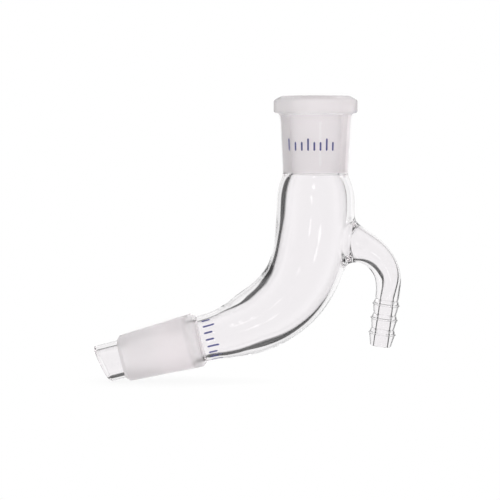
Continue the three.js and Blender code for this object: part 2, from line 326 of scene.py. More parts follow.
class Branch:
    """Signed distance to the branched tube's outside or to its bore."""

    def __init__(self, body_radius, body_shift, arm_radius, arm_shift, reach):
        self.body_radius, self.body_shift = body_radius, body_shift
        self.arm_radius, self.arm_shift, self.reach = arm_radius, arm_shift, reach

    def plane(self, xz):
        """Everything about each (x, z) point that doesn't depend on y."""
        body_at, body_side = BODY.locate(xz)
        arm_at, arm_side = ARM.locate(xz)
        body_side = body_side + self.body_shift(body_at)
        arm_side = arm_side - self.arm_shift(arm_at)
        behind = -ARM_BACK - arm_at
        return self.body_radius(body_at), body_side, self.arm_radius(arm_at), arm_side, behind

    def value(self, plane, y):
        body_radius, body_side, arm_radius, arm_side, behind = plane
        to_body = np.hypot(body_side, y) - body_radius
        to_arm = np.maximum(np.hypot(arm_side, y) - arm_radius, behind)
        return blended(to_body, to_arm, self.reach)

    def __call__(self, points):
        return self.value(self.plane(points[:, [0, 2]]), points[:, 1])

    def slope(self, points):
        """Unit gradient at each point."""
        xz, y = points[:, [0, 2]], points[:, 1]
        grad = np.empty_like(points)
        for axis, nudge in ((0, np.array([NUDGE, 0])), (2, np.array([0, NUDGE]))):
            ahead, back = self.plane(xz + nudge), self.plane(xz - nudge)
            grad[:, axis] = self.value(ahead, y) - self.value(back, y)
        plane = self.plane(xz)
        grad[:, 1] = self.value(plane, y + NUDGE) - self.value(plane, y - NUDGE)
        return grad / np.linalg.norm(grad, axis=1, keepdims=True)

    def settle(self, points, rounds=2):
        """The points moved onto the surface."""
        for _ in range(rounds):
            points = points - self.slope(points) * self(points)[:, None]
        return points

    def surface(self, low, high, voxel):
        """Vertices and quads of the surface inside a box."""
        xs, ys, zs = (np.arange(low[i], high[i] + voxel, voxel) for i in range(3))
        flat = np.stack(np.meshgrid(xs, zs, indexing="ij"), -1).reshape(-1, 2)
        plane = [part.reshape(len(xs), len(zs)) for part in self.plane(flat)]
        values = np.empty((len(xs), len(ys), len(zs)), np.float32)
        for j, y in enumerate(ys):
            values[:, j] = self.value(plane, y)
        grid = openvdb.FloatGrid(float(np.abs(values).max()))
        grid.copyFromArray(values)
        points, triangles, quads = grid.convertToPolygons(isovalue=0.0, adaptivity=0.0)
        points = np.array(low) + points.astype(float) * voxel
        return self.settle(points), [list(q) for q in quads] + [list(t) for t in triangles]


OUTSIDE = Branch(BODY_SKIN, BODY_SKIN_SHIFT, ARM_SKIN, ARM_SKIN_SHIFT, 4.5)
INSIDE = Branch(BODY_BORE, BODY_BORE_SHIFT, ARM_BORE, ARM_BORE_SHIFT, 2.0)


# ---------------------------------------------------------------- meshes

# Places of a piece's materials: fire-polished, ground matt, and fused to the next piece.
CLEAR_ZONE, GROUND_ZONE, WELD_ZONE = 0, 1, 2


def metres(points):
    return (points + ORIGIN) * MM


def facing(points, faces):
    """Positive when a closed mesh's faces point out. A sample of them gives the same sign."""
    total = 0.0
    for face in faces:
        p = points[face]
        for i in range(1, len(face) - 1):
            total += np.dot(p[0], np.cross(p[i], p[i + 1]))
    return total / 6


def make_piece(name, node, points, faces, zones, corner_normals, materials,
               ground=None):
    """One closed glass piece that replaces its CAD node.

    ground holds how matt each vertex is, from 0 to 1.
    """
    mesh = bpy.data.meshes.new(name)
    mesh.from_pydata(metres(points).tolist(), [], faces)
    mesh.polygons.foreach_set("material_index", np.array(zones, np.int32))
    mesh.polygons.foreach_set("use_smooth", np.ones(len(faces), bool))
    for material in materials:
        mesh.materials.append(material)
    if ground is not None:
        mesh.attributes.new("ground", "FLOAT", "POINT").data.foreach_set("value", ground)
    mesh.update()
    mesh.normals_split_custom_set(corner_normals.tolist())
    piece = bpy.data.objects.new(name, mesh)
    bpy.context.scene.collection.objects.link(piece)
    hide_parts(node)
    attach(piece, "root")


def corners(faces):
    """Vertex index at every face corner."""
    return np.concatenate([np.asarray(face, int) for face in faces])


def rounded(points, step=FINE_STEP):
    """Closed outline through corners of (radius, z, rounding), and which points are sharp."""
    corner = np.array([p[:2] for p in points], float)
    fillet = [p[2] for p in points]
    outline = []
    for i, p in enumerate(corner):
        before, after = corner[i - 1], corner[(i + 1) % len(corner)]
        u, v = before - p, after - p
        u_length, v_length = np.linalg.norm(u), np.linalg.norm(v)
        u, v = u / u_length, v / v_length
        if fillet[i] == 0:
            outline.append((p, True))
            continue
        half = math.acos(np.clip(np.dot(u, v), -1, 1)) / 2
        reach = min(fillet[i] / math.tan(half), u_length * FILLET_SHARE, v_length * FILLET_SHARE)
        radius = reach * math.tan(half)
        centre = p + (u + v) / np.linalg.norm(u + v) * radius / math.sin(half)
        a, b = p + u * reach - centre, p + v * reach - centre
        turn = math.atan2(a[0] * b[1] - a[1] * b[0], np.dot(a, b))
        count = max(3, int(abs(turn) / FILLET_TURN))
        for k in range(count + 1):
            c, s = math.cos(turn * k / count), math.sin(turn * k / count)
            outline.append((centre + np.array([c * a[0] - s * a[1], s * a[0] + c * a[1]]), False))
    fine = []
    for (a, sharp), (b, _) in zip(outline, outline[1:] + outline[:1]):
        count = max(1, int(np.ceil(np.linalg.norm(b - a) / step)))
        fine += [(a + (b - a) * k / count, sharp and k == 0) for k in range(count)]
    return np.array([p for p, _ in fine]), np.array([s for _, s in fine])


def runs_backwards(outline):
    """True for a clockwise outline, which would turn a mesh inside out."""
    after = np.roll(outline, -1, axis=0)
    return np.sum(outline[:, 0] * after[:, 1] - after[:, 0] * outline[:, 1]) < 0


def lathe(outline, sharp, centre, way, facets, zone_of, shear=None):
    """Turns a closed outline about the line through centre (x, z) along way. Returns mesh arrays.

    shear gives an extra shift along the line, and its rates of change sideways and along.
    """
    n = len(outline)
    if runs_backwards(outline):
        outline, sharp = outline[::-1], sharp[::-1]
    after = np.roll(outline, -1, axis=0)
    edge_normal = (after - outline)[:, ::-1] * [1, -1]
    edge_normal /= np.linalg.norm(edge_normal, axis=1, keepdims=True)
    before_normal = np.roll(edge_normal, 1, axis=0)
    soft = edge_normal + before_normal
    soft /= np.linalg.norm(soft, axis=1, keepdims=True)
    leaving = np.where(sharp[:, None], edge_normal, soft)
    arriving = np.roll(np.where(sharp[:, None], before_normal, soft), -1, axis=0)

    angle = np.arange(facets) * 2 * math.pi / facets
    axis = np.array([way[0], 0, way[1]])
    frame_of_line = np.stack([np.cross([0, 1, 0], axis), [0, 1, 0], axis])
    turn = np.stack([np.cos(angle), np.sin(angle)], 1)
    local = np.concatenate([turn[:, None] * outline[None, :, :1],
                            np.broadcast_to(outline[None, :, 1:], (facets, n, 1))], 2)
    shift, shift_sideways, shift_along = shear(local[..., 0], local[..., 2]) if shear else (0, 0, 0)

    def directions(flat, k, i):
        lean = np.concatenate([turn[i][:, None] * flat[None, :, :1],
                               np.broadcast_to(flat[None, :, 1:], (facets, n, 1))], 2)
        if shear:
            stretch = 1 + shift_along[i][:, k]
            lean = np.stack([lean[..., 0] - lean[..., 2] * shift_sideways[i][:, k] / stretch,
                             lean[..., 1], lean[..., 2] / stretch], 2)
            lean /= np.linalg.norm(lean, axis=2, keepdims=True)
        return lean @ frame_of_line

    i, k = np.arange(facets), np.arange(n)
    j, m = (i + 1) % facets, (k + 1) % n
    normals = np.stack([directions(leaving, k, i), directions(leaving, k, j),
                        directions(arriving, m, j), directions(arriving, m, i)], 2)
    quads = np.stack([i[:, None] * n + k, j[:, None] * n + k,
                      j[:, None] * n + m, i[:, None] * n + m], 2)
    zones = np.tile([zone_of((p + q) / 2) for p, q in zip(outline, after)], facets)
    local[..., 2] += shift
    points = local.reshape(-1, 3) @ frame_of_line + [centre[0], 0, centre[1]]
    return points, quads.reshape(-1, 4).tolist(), zones, normals.reshape(-1, 3)


def half_plane_cut(bm, centre, way):
    """Cuts off what lies beyond a plane and closes the wall there with a flat weld face."""
    centre = Vector((centre[0], 0, centre[1]))
    way = Vector((way[0], 0, way[1]))
    everything = bm.verts[:] + bm.edges[:] + bm.faces[:]
    cut = bmesh.ops.bisect_plane(bm, geom=everything, dist=1e-5, plane_co=centre, plane_no=way,
                                 clear_outer=True)
    rim = [e for e in cut["geom_cut"] if isinstance(e, bmesh.types.BMEdge)]
    cap = bmesh.ops.triangle_fill(bm, use_beauty=True, edges=rim, normal=way)
    for face in cap["geom"]:
        if isinstance(face, bmesh.types.BMFace):
            face.material_index = WELD_ZONE
            if face.normal.dot(way) < 0:
                face.normal_flip()


def body_tube(materials):
    """Bent tube with its welded stub, cut at its three weld planes."""
    low = np.array(FIELD_LOW)
    high = np.array([*FIELD_HIGH, -SOCKET_LENGTH + FIELD_ABOVE])
    bm = bmesh.new()
    for field, flip in ((OUTSIDE, False), (INSIDE, True)):
        points, faces = field.surface(low, high, VOXEL)
        if (facing(points, faces[::SAMPLE_STRIDE]) < 0) != flip:
            faces = [face[::-1] for face in faces]
        part = bpy.data.meshes.new("part")
        part.from_pydata(points.tolist(), [], faces)
        bm.from_mesh(part)
        bpy.data.meshes.remove(part)
    arm_weld, arm_way = ARM.place(ARM_WELD)
    half_plane_cut(bm, BODY.points[0], -DOWN)
    half_plane_cut(bm, CONE_WELD, CONE_WAY)
    half_plane_cut(bm, arm_weld, arm_way)
    points = np.array([v.co for v in bm.verts])
    faces = [[v.index for v in f.verts] for f in bm.faces]
    zones = np.array([f.material_index for f in bm.faces])
    face_normals = np.array([f.normal for f in bm.faces])
    bm.free()
    outer = np.abs(OUTSIDE(points)) < np.abs(INSIDE(points))
    normals = np.where(outer[:, None], OUTSIDE.slope(points), -INSIDE.slope(points))
    sizes = np.array([len(f) for f in faces])
    flat = np.repeat(zones == WELD_ZONE, sizes)[:, None]
    face_normals = np.repeat(face_normals, sizes, axis=0)
    corner_normals = np.where(flat, face_normals, normals[corners(faces)])
    make_piece("body_tube_glass", "body_tube", points, faces, zones, corner_normals,
               materials)


def side_arm(materials):
    """Bent side arm: rings across its centre line, moved onto the blended surfaces."""
    facets, rings = ARM_FACETS, ARM_RINGS
    distance = np.linspace(ARM_WELD, ARM.length, rings)
    place, way = ARM.place(distance)
    angle = np.arange(facets) * 2 * math.pi / facets
    axis = np.stack([way[:, 0], np.zeros(rings), way[:, 1]], 1)
    across = np.cross([0, 1, 0], axis)
    turn_x, turn_y = np.cos(angle)[None, :, None], np.sin(angle)[None, :, None]
    radial = turn_x * across[:, None] + turn_y * np.array([0, 1, 0])
    base = np.stack([place[:, 0], np.zeros(rings), place[:, 1]], 1)
    layers = []
    for field, radius in ((OUTSIDE, ARM_SKIN(distance)), (INSIDE, ARM_BORE(distance))):
        reach = np.repeat(radius, facets)
        ray = radial.reshape(-1, 3)
        start = np.repeat(base, facets, axis=0)
        for _ in range(ARM_ROUNDS):
            here = field(start + ray * reach[:, None])
            rise = (field(start + ray * (reach[:, None] + NUDGE)) - here) / NUDGE
            reach = reach - here / np.maximum(rise, LEAST_RISE)
        layers.append(start + ray * reach[:, None])
    points = np.concatenate(layers)
    normals = np.concatenate([OUTSIDE.slope(layers[0]), -INSIDE.slope(layers[1])])
    count = facets * rings
    faces, zones, corner_normals = [], [], []
    for i in range(rings - 1):
        for k in range(facets):
            m = (k + 1) % facets
            a, b, c, d = i * facets + k, i * facets + m, (i + 1) * facets + m, (i + 1) * facets + k
            for quad in ([a, b, c, d], [d + count, c + count, b + count, a + count]):
                faces.append(quad)
                zones.append(CLEAR_ZONE)
                corner_normals += list(normals[quad])
    for i, sign in ((0, -1), (rings - 1, 1)):
        for k in range(facets):
            m = (k + 1) % facets
            quad = [i * facets + k, i * facets + m, i * facets + m + count, i * facets + k + count]
            faces.append(quad[::sign])
            zones.append(WELD_ZONE)
            corner_normals += [axis[i] * sign] * 4
    make_piece("side_arm_glass", "side_arm", points, faces, zones,
               np.array(corner_normals), materials)


def ramp(value, start, end):
    """0 at start, 1 at end and beyond, eased."""
    t = min(max((value - start) / (end - start), 0.0), 1.0)
    return t * t * (3 - 2 * t)


def turned_piece(name, node, outline, sharp, centre, way, facets, ground_of, welds,
                 materials, shear=None):
    """A lathed glass piece: ground_of gives how matt each outline point is.

    welds are its weld planes: place along the line, and the radii between which it is fused.
    """
    def zone_of(point):
        for place, inner, outer in welds:
            if abs(point[1] - place) < WELD_TOUCH and inner < point[0] < outer:
                return WELD_ZONE
        return GROUND_ZONE if ground_of(point) > 0 else CLEAR_ZONE

    points, faces, zones, normals = lathe(outline, sharp, centre, way, facets, zone_of, shear)
    if runs_backwards(outline):
        outline = outline[::-1]
    ground = np.tile([ground_of(point) for point in outline], facets)
    make_piece(name, node, points, faces, zones, normals, materials, ground)


def socket_joint(materials):
    """Ground socket: thick beaded rim, tapered collar and the tapered ground bore. z runs down."""
    length = SOCKET_LENGTH
    corner = [
        (BODY_BORE(0), length, 0),
        (GROUND_SMALL_R, GROUND_LENGTH, BORE_FOOT_ROUND),
        (GROUND_LARGE_R, MOUTH_BEVEL_DEPTH, MOUTH_ROUNDS[0]),
        (GROUND_LARGE_R + MOUTH_BEVEL, 0, MOUTH_ROUNDS[1]),
        (RIM_R - RIM_BEVEL, 0, RIM_ROUND),
        (RIM_R, RIM_BEVEL_DEPTH, RIM_ROUND),
        (RIM_R, RIM_HEIGHT, RIM_ROUND),
        (COLLAR_R + UNDER_RIM[0], RIM_HEIGHT + UNDER_RIM[1], UNDER_RIM[2]),
        (COLLAR_R, COLLAR_DEPTH, COLLAR_ROUND),
        (BODY_SKIN(-FOOT_RUN), length - FOOT_RUN, FOOT_ROUND),
        (BODY_SKIN(0), length, 0),
    ]
    outline, sharp = rounded(corner)

    def ground(point):
        radius, depth = point
        frost = ramp(depth, FROST_LENGTH, FROST_LENGTH - FROST_FADE)
        inside = float(radius < GROUND_LARGE_R + MOUTH_ROUNDS[1]) * frost
        low = ramp(depth, RIM_HEIGHT + HAZE_DEPTHS[0], RIM_HEIGHT + HAZE_DEPTHS[1])
        bead = RIM_HAZE * ramp(radius, COLLAR_R - HAZE_FADE, COLLAR_R) * low
        return max(inside, bead)

    turned_piece("socket_glass", "socket_joint", outline, sharp, np.zeros(2), DOWN,
                 SOCKET_FACETS, ground, [(length, 0, RIM_R)], materials)
    return outline


def cone_joint(materials):
    """Ground cone with its polished shoulder and shank. z runs from the weld to the small end."""
    shoulder_end = SHANK_LENGTH + SHOULDER_LENGTH
    face = CONE_END + CONE_END_ROUND
    corner = [
        (BODY_SKIN(BODY.length), 0, 0),
        (BODY_SKIN(BODY.length + SHANK_MIDDLE), SHANK_MIDDLE, SHANK_ROUND),
        (BODY_SKIN(BODY.length + SHANK_LENGTH), SHANK_LENGTH - SHANK_STEP, SHANK_END_ROUND),
        (GROUND_LARGE_R + SHOULDER_PROUD, shoulder_end, SHOULDER_ROUND),
        (GROUND_SMALL_R, CONE_END - CONE_CHAMFER + CONE_END_ROUND, CONE_CHAMFER_ROUNDS[0]),
        (GROUND_SMALL_R - CONE_CHAMFER, face, CONE_CHAMFER_ROUNDS[1]),
        (TIP_R, face, 0),
        (TIP_R - TIP_WALL, face, 0),
        (CONE_BORE_END[0], CONE_END - CONE_BORE_END[1], CONE_BORE_END[2]),
        (CONE_BORE_WIDE[0], shoulder_end + CONE_BORE_WIDE[1], CONE_BORE_WIDE[2]),
        (CONE_BORE_NECK[0], SHANK_LENGTH - CONE_BORE_NECK[1], CONE_BORE_NECK[2]),
        (BODY_BORE(BODY.length + SHANK_MIDDLE), SHANK_MIDDLE, SHANK_ROUND),
        (BODY_BORE(BODY.length), 0, 0),
    ]
    outline, sharp = rounded(corner)

    def ground(point):
        radius, along = point
        outside = ramp(radius, TIP_R, TIP_R + CONE_CHAMFER_ROUNDS[1])
        worn = ramp(along, shoulder_end + SHOULDER_FADE[0], shoulder_end + SHOULDER_FADE[1])
        shoulder = SHOULDER_POLISH + (1 - SHOULDER_POLISH) * worn
        return outside * shoulder * ramp(along, SHANK_LENGTH, SHANK_LENGTH + SHANK_END_ROUND)

    welds = [(0, 0, GROUND_LARGE_R), (face, TIP_R - TIP_WALL, TIP_R)]
    turned_piece("cone_glass", "cone_joint", outline, sharp, CONE_WELD, CONE_WAY,
                 CONE_FACETS, ground, welds, materials)
    return outline


def drip_tip(materials):
    """Drip tip: fire-polished end, sheared so that its upper side is the longer one."""
    start = CONE_END + CONE_END_ROUND
    middle = CONE_END + (TIP_SHORT + TIP_LONG) / 2
    slant = (TIP_LONG - TIP_SHORT) / (2 * TIP_R)
    corner = [
        (TIP_R, start, 0),
        (TIP_R, middle, TIP_ROUND),
        (TIP_R - TIP_WALL, middle, TIP_ROUND),
        (TIP_R - TIP_WALL, start, 0),
    ]
    outline, sharp = rounded(corner, TIP_STEP)

    def shear(sideways, along):
        grow = np.clip((along - start) / (middle - start), 0, 1)
        eased = grow**2 * (3 - 2 * grow)
        rate = 6 * grow * (1 - grow) / (middle - start)
        return slant * sideways * eased, slant * eased, slant * sideways * rate

    turned_piece("drip_tip_glass", "drip_tip", outline, sharp, CONE_WELD, CONE_WAY,
                 TIP_FACETS, lambda point: 0.0, [(start, 0, TIP_R)], materials, shear)


def hose_barb(materials):
    """Hose connector: each serration swells over a short rise and tapers towards the free end."""
    corner = [(ARM_END_BORE_R, 0, 0), (ARM_END_R, 0, 0)]
    for i in range(BARB_COUNT):
        z = BARB_NECK + i * BARB_PITCH
        corner.append((BARB_VALLEY_R, z - BARB_RISE[0], BARB_RISE[1]))
        corner += [(BARB_TOP_R + beyond, z + along, turn) for beyond, along, turn in BARB_RIDGE]
    corner.append((BARB_END_R, BARB_LENGTH, BARB_END_ROUNDS[0]))
    corner.append((BARB_END_BORE_R, BARB_LENGTH, BARB_END_ROUNDS[1]))
    outline, sharp = rounded(corner, BARB_STEP)
    turned_piece("hose_barb_glass", "hose_barb", outline, sharp, ARM_END, BARB_WAY,
                 BARB_FACETS, lambda point: 0.0, [(0, 0, ARM_END_R)], materials)


# ---------------------------------------------------------------- printed ticks

# Every third tick is a long one. The socket's are spaced evenly in x, the cone's in degrees.
TICK_COUNT = 8
TICK_WIDTH = 0.62
TICK_TIP = 0.05
TICK_THICKNESS = 0.04
TICK_SINK = 0.02
TICK_ROWS = 15
TICK_COLUMNS = (-1, -0.5, 0, 0.5, 1)
SHORT_TICK, LONG_TICK = 3.0, 4.2
SOCKET_TICK_START, SOCKET_TICK_PITCH = -9.2, 2.1
SOCKET_TICK_DEPTH, SOCKET_TICK_FOOT = 17.0, 18.7
SOCKET_SKIN_OVER = GROUND_LARGE_R + 1
CONE_TICK_START, CONE_TICK_PITCH, CONE_TICK_FOOT = -68, 17, 6.3
CONE_SKIN_OVER = GROUND_SMALL_R - 0.5


def outer_radius(outline, over):
    """Radius at each place along a turned piece, from its outline's points over a radius."""
    skin = outline[outline[:, 0] > over]
    skin = skin[np.argsort(skin[:, 1])]
    return lambda z: np.interp(z, skin[:, 1], skin[:, 0])


def enamel_ticks(name, centre, way, radius_of, ticks, material):
    """A row of blue strokes that hug a round surface. Each is (angle, start, end) on its line."""
    axis = np.array([way[0], 0, way[1]])
    across = np.cross([0, 1, 0], axis)
    columns = len(TICK_COLUMNS)
    loop = list(range(columns)) + list(range(2 * columns - 1, columns - 1, -1))
    points, faces = [], []
    for angle, start, end in ticks:
        along = np.linspace(start, end, TICK_ROWS)
        first = len(points)
        for z in along:
            round_off = min(z - start, end - z, TICK_WIDTH / 2) / (TICK_WIDTH / 2)
            half = TICK_WIDTH / 2 * math.sqrt(max(1 - (1 - round_off)**2, TICK_TIP))
            for lift in (-TICK_SINK, TICK_THICKNESS):
                radius = radius_of(z) + lift
                for side in TICK_COLUMNS:
                    a = angle + side * half / radius
                    spoke = across * math.sin(a) - np.array([0, 1, 0]) * math.cos(a)
                    points.append(np.array([centre[0], 0, centre[1]]) + axis * z + spoke * radius)
        rows = [first + i * 2 * columns for i in range(TICK_ROWS)]
        for a, b in zip(rows, rows[1:]):
            for k, m in zip(loop, loop[1:] + loop[:1]):
                faces.append([a + k, b + k, b + m, a + m])
        for row, order in ((rows[0], 1), (rows[-1], -1)):
            for k in range(columns - 1):
                quad = [row + k, row + k + 1, row + k + columns + 1, row + k + columns]
                faces.append(quad[::order])
    points = np.array(points)
    if facing(points, faces) < 0:
        faces = [face[::-1] for face in faces]
    mesh = bpy.data.meshes.new(name)
    mesh.from_pydata(metres(points).tolist(), [], faces)
    mesh.materials.append(material)
    piece = bpy.data.objects.new(name, mesh)
    bpy.context.scene.collection.objects.link(piece)
    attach(piece, "root")


def tick_length(i):
    return LONG_TICK if i % 3 == 0 else SHORT_TICK


def socket_ticks(outline, material):
    """Graduation strokes across the front of the socket."""
    skin = outer_radius(outline[outline[:, 1] > COLLAR_DEPTH], SOCKET_SKIN_OVER)
    ticks = []
    for i in range(TICK_COUNT):
        x = SOCKET_TICK_START + SOCKET_TICK_PITCH * i
        angle = -math.asin(x / skin(SOCKET_TICK_DEPTH))
        ticks.append((angle, SOCKET_TICK_FOOT - tick_length(i), SOCKET_TICK_FOOT))
    enamel_ticks("socket_ticks", np.zeros(2), DOWN, skin, ticks, material)


def cone_ticks(outline, material):
    """The same strokes round the shank, beside the cone's shoulder."""
    skin = outer_radius(outline[outline[:, 1] < SHANK_LENGTH], CONE_SKIN_OVER)
    ticks = []
    for i in range(TICK_COUNT):
        angle = math.radians(CONE_TICK_START + CONE_TICK_PITCH * i)
        ticks.append((angle, CONE_TICK_FOOT - tick_length(i), CONE_TICK_FOOT))
    enamel_ticks("cone_ticks", CONE_WELD, CONE_WAY, skin, ticks, material)


# ---------------------------------------------------------------- materials

# Colours are pairs that a noise texture mixes, and bumps are (strength, metres). Ground glass is
# part milky, which scatters light back and through, and part see-through.
WHITE = (1, 1, 1)
GLASS_IOR = 1.474
CLEAR_TINTS = ((0.958, 0.943, 0.953), (0.97, 0.957, 0.966))
RIPPLE_SCALE, RIPPLE_BUMP = 90.0, (0.05, 0.0004)
MATT_TINT = (0.985, 0.968, 0.978)
GRAIN_SCALE, GRAIN_BUMP = 4200.0, (0.25, 0.00006)
CLOUD_SCALE, CLOUD_RANGE, CLOUD_ROUGHNESS = 160.0, (0.3, 0.7), 0.08
MILK_THROUGH, MILK_SHARE = 0.55, 0.5
# Ground surfaces: colour scattered back, colour scattered through, roughness. Both are the same
# ground glass, but the bore's colours are painted lighter and the cone's painted darker: painted
# light and shade for how each is lit.
PAINTED_LIT_BORE_LOOK = ((0.995, 0.982, 0.985), (0.998, 0.99, 0.991), 0.33)
PAINTED_SHADED_CONE_LOOK = ((0.895, 0.883, 0.888), (0.92, 0.907, 0.912), 0.4)
INK_COLOURS = ((0.028, 0.033, 0.12), (0.075, 0.08, 0.22))
INK_SCALE, INK_ROUGHNESS = 1500.0, 0.45


def node_material(name):
    material = bpy.data.materials.new(name)
    material.use_nodes = True
    tree = material.node_tree
    tree.nodes.clear()
    output = tree.nodes.new("ShaderNodeOutputMaterial")
    return material, tree, output


def add(tree, kind, inputs=None, **settings):
    node = tree.nodes.new(kind)
    for key, value in settings.items():
        setattr(node, key, value)
    for key, value in (inputs or {}).items():
        if isinstance(value, bpy.types.NodeSocket):
            tree.links.new(value, node.inputs[key])
        else:
            node.inputs[key].default_value = value
    return node


def noise(tree, place, scale, detail):
    vector = place.outputs["Object"]
    texture = add(tree, "ShaderNodeTexNoise", {"Vector": vector, "Scale": scale, "Detail": detail})
    return texture.outputs["Fac"]


def bumped(tree, height, bump):
    settings = {"Height": height, "Strength": bump[0], "Distance": bump[1]}
    return add(tree, "ShaderNodeBump", settings).outputs["Normal"]


def mixed_colour(tree, amount, first, second):
    """Mix of two colours, each a socket or a plain (r, g, b)."""
    pair = [c if isinstance(c, bpy.types.NodeSocket) else (*c, 1) for c in (first, second)]
    node = add(tree, "ShaderNodeMix", {0: amount, 6: pair[0], 7: pair[1]}, data_type="RGBA")
    return node.outputs[2]


def mixed_shader(tree, amount, first, second):
    return add(tree, "ShaderNodeMixShader", {0: amount, 1: first.outputs[0], 2: second.outputs[0]})


def polished(tree, place):
    """Fire-polished borosilicate: clear, very slightly uneven."""
    ripple = noise(tree, place, RIPPLE_SCALE, 1.0)
    return add(tree, "ShaderNodeBsdfPrincipled", {
        "Base Color": mixed_colour(tree, ripple, *CLEAR_TINTS), "Transmission Weight": 1.0,
        "Roughness": 0.0, "IOR": GLASS_IOR, "Normal": bumped(tree, ripple, RIPPLE_BUMP),
    })


def clear_glass():
    material, tree, output = node_material("clear_borosilicate")
    place = add(tree, "ShaderNodeTexCoord")
    tree.links.new(polished(tree, place).outputs[0], output.inputs["Surface"])
    return material


def ground_glass(name, back_colour, through_colour, roughness):
    """Glass ground matt with abrasive. The mesh's ground attribute fades it out at its edges."""
    material, tree, output = node_material(name)
    place = add(tree, "ShaderNodeTexCoord")
    grit = bumped(tree, noise(tree, place, GRAIN_SCALE, 3.0), GRAIN_BUMP)
    rough = add(tree, "ShaderNodeMapRange", {
        "Value": noise(tree, place, CLOUD_SCALE, 2.0), "From Min": CLOUD_RANGE[0],
        "From Max": CLOUD_RANGE[1], "To Min": roughness, "To Max": roughness + CLOUD_ROUGHNESS,
    })
    glass = add(tree, "ShaderNodeBsdfPrincipled", {
        "Base Color": (*MATT_TINT, 1), "Transmission Weight": 1.0, "IOR": GLASS_IOR,
        "Roughness": rough.outputs["Result"], "Normal": grit,
    })
    back = add(tree, "ShaderNodeBsdfDiffuse", {"Color": (*back_colour, 1), "Normal": grit})
    spread = {"Color": (*through_colour, 1), "Normal": grit}
    through = add(tree, "ShaderNodeBsdfTranslucent", spread)
    milk = mixed_shader(tree, MILK_THROUGH, back, through)
    matt = mixed_shader(tree, MILK_SHARE, glass, milk)
    amount = add(tree, "ShaderNodeAttribute", attribute_name="ground")
    faded = mixed_shader(tree, amount.outputs["Fac"], polished(tree, place), matt)
    tree.links.new(faded.outputs[0], output.inputs["Surface"])
    return material


def blue_enamel():
    material, tree, output = node_material("blue_enamel")
    place = add(tree, "ShaderNodeTexCoord")
    ink = mixed_colour(tree, noise(tree, place, INK_SCALE, 2.0), *INK_COLOURS)
    coat = add(tree, "ShaderNodeBsdfPrincipled", {"Base Color": ink, "Roughness": INK_ROUGHNESS})
    tree.links.new(coat.outputs[0], output.inputs["Surface"])
    return material


def weld_face():
    """Where two blanks are fused there is no surface: light passes straight through."""
    material, tree, output = node_material("fused_weld")
    clear = add(tree, "ShaderNodeBsdfTransparent")
    tree.links.new(clear.outputs[0], output.inputs["Surface"])
    return material


# ---------------------------------------------------------------- floor, light and camera

# The white panel fills a rounded patch of directions round the camera's own: it is centred at a
# yaw and pitch, flares out above and below, and has a soft edge. Glass further to the right sees
# more of its left side and less of its right, as it would if the panel stood near: the reach to the
# left grows over PANEL_NEAR and the reach to the right shrinks over PANEL_TRIM, both in millimetres
# from the camera's axis.
PANEL_CENTRE = (math.radians(18.5), math.radians(9.5))
PANEL_HALF = (math.radians(45), math.radians(40.5))
PANEL_CORNER = 3.0
PANEL_FLARE = 0.27
PANEL_SOFT = 0.1
PANEL_NEAR = (30.0, 46.0)
PANEL_NEAR_REACH = 1.6
PANEL_TRIM = (39.0, 48.0)
PANEL_TRIM_REACH = 1.25
PANEL_DEPTH = 100.0

# Half widths of the panel's and the floor's meshes, metres, and the floor's contact shade.
PANEL_REACH = 0.6
FLOOR_REACH = 6.0
SHADE_REACH, SHADE_TONE = 0.012, 0.93

# Light by angle from the camera's own direction: darkness round the panel, sides, room.
DARK = 0.07
SIDE_ANGLES = (math.radians(68), math.radians(80))
SIDE_LIGHT = 0.9
ROOM_ANGLES = (math.radians(100), math.radians(130))
ROOM = 0.6

# Tent for light that a matt surface has scattered: stronger ahead, behind and from the right.
TENT = 1.08
TENT_FRONT = 2.5
TENT_FOCUS = 4.0
TENT_LEAN = 0.36
TENT_TINT = (1.0, 0.915, 0.94)

# Lamps behind the camera: (yaw, pitch, half width, half height, strength).
LAMP_FADE = (2.0, 0.2)
LAMPS = (
    (math.radians(-8), math.radians(27), math.radians(4.5), math.radians(5), 3.4),
    (math.radians(14.4), math.radians(-12), math.radians(3.5), math.radians(2.8), 4.0),
)


def math_node(tree, operation, *values):
    return add(tree, "ShaderNodeMath", dict(enumerate(values)), operation=operation).outputs[0]


def eased(tree, value, start, end, low=0.0, high=1.0):
    """Eases from low at start to high at end."""
    ends = {"Value": value, "From Min": start, "From Max": end, "To Min": low, "To Max": high}
    node = add(tree, "ShaderNodeMapRange", ends, interpolation_type="SMOOTHSTEP")
    return node.outputs["Result"]


def oval(tree, yaw, pitch, centre, half):
    """1 in the middle of an oval patch of directions, fading out across its edge."""
    total = 0.0
    for angle, middle, reach in ((yaw, centre[0], half[0]), (pitch, centre[1], half[1])):
        offset = math_node(tree, "DIVIDE", math_node(tree, "SUBTRACT", angle, middle), reach)
        total = math_node(tree, "MULTIPLY_ADD", offset, offset, total)
    return eased(tree, total, *LAMP_FADE)


def unscattered(tree):
    """1 for light that no matt surface has scattered yet, otherwise 0."""
    path = add(tree, "ShaderNodeLightPath")
    return math_node(tree, "LESS_THAN", path.outputs["Diffuse Depth"], 0.5)


